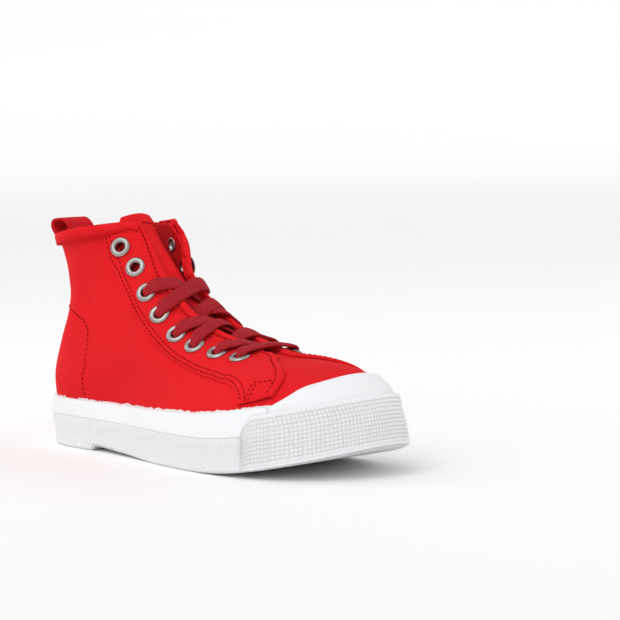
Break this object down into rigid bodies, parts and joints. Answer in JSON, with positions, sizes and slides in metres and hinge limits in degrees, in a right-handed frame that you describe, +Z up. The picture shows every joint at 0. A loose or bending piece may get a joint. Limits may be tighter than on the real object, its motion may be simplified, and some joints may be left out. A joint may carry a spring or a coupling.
{
  "type": "canvas sneaker",
  "caption": "High lace-up canvas shoe for a right foot: hollow upper open at the collar, tongue, metal eyelets, crossed flat lace, pull tab, rubber sole with toe bumper and toe cap.",
  "frame": {"origin": "middle of the bounding box's underside, on the floor the shoe stands on", "axes": "+X from heel to toe, +Y to the inner (big-toe) side of a right foot, +Z up"},
  "size_m": [0.2696, 0.0974, 0.1316],
  "materials": {
    "canvas": "matt woven",
    "lining": "matt woven",
    "cord": "flat woven",
    "rubber": "satin, white",
    "nickel": "satin nickel plate"
  },
  "bodies": {
    "root": {"outsole": "rubber", "foxing": "rubber", "toe_bumper": "rubber", "toe_cap": "rubber", "insole": "lining", "upper": "canvas", "eyestay_outer": "canvas", "eyestay_inner": "canvas", "collar_band": "canvas", "tongue": "canvas", "pull_tab": "canvas", "lace": "cord", "eyelet_outer_1": "nickel", "eyelet_outer_2": "nickel", "eyelet_outer_3": "nickel", "eyelet_outer_4": "nickel", "eyelet_outer_5": "nickel", "eyelet_outer_6": "nickel", "eyelet_outer_7": "nickel", "eyelet_outer_8": "nickel", "eyelet_inner_1": "nickel", "eyelet_inner_2": "nickel", "eyelet_inner_3": "nickel", "eyelet_inner_4": "nickel", "eyelet_inner_5": "nickel", "eyelet_inner_6": "nickel", "eyelet_inner_7": "nickel", "eyelet_inner_8": "nickel"}
  },
  "joints": []
}
